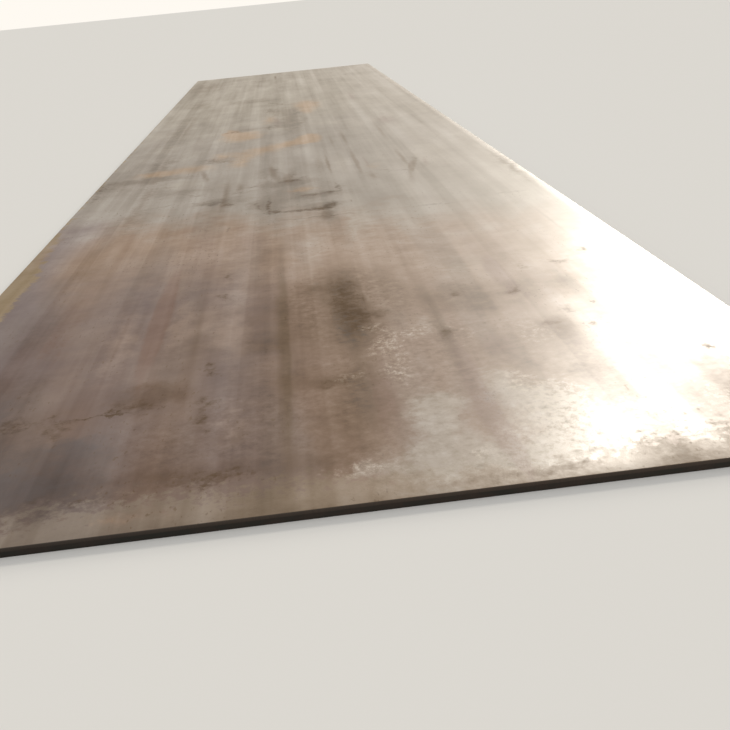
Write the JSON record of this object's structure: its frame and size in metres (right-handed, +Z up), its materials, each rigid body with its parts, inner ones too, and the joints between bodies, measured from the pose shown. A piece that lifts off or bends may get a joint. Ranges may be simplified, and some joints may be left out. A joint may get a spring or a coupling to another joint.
{
  "type": "steel plate",
  "caption": "Long flat hot-rolled steel plate with sheared edges, worn mill scale and light rust, used as raw stock.",
  "frame": {"origin": "middle of the plate's length and width, on its underside", "axes": "+X across the rolling direction, +Y along the rolling direction and the plate's length, +Z up through the thickness"},
  "size_m": [2.2, 12, 0.02],
  "materials": {
    "plate_scale": "hot-rolled mill scale, grey-brown and worn, with lengthwise rolling streaks, water stains, tan flaked margins and light rust"
  },
  "bodies": {
    "root": {"plate": "plate_scale"}
  },
  "joints": []
}
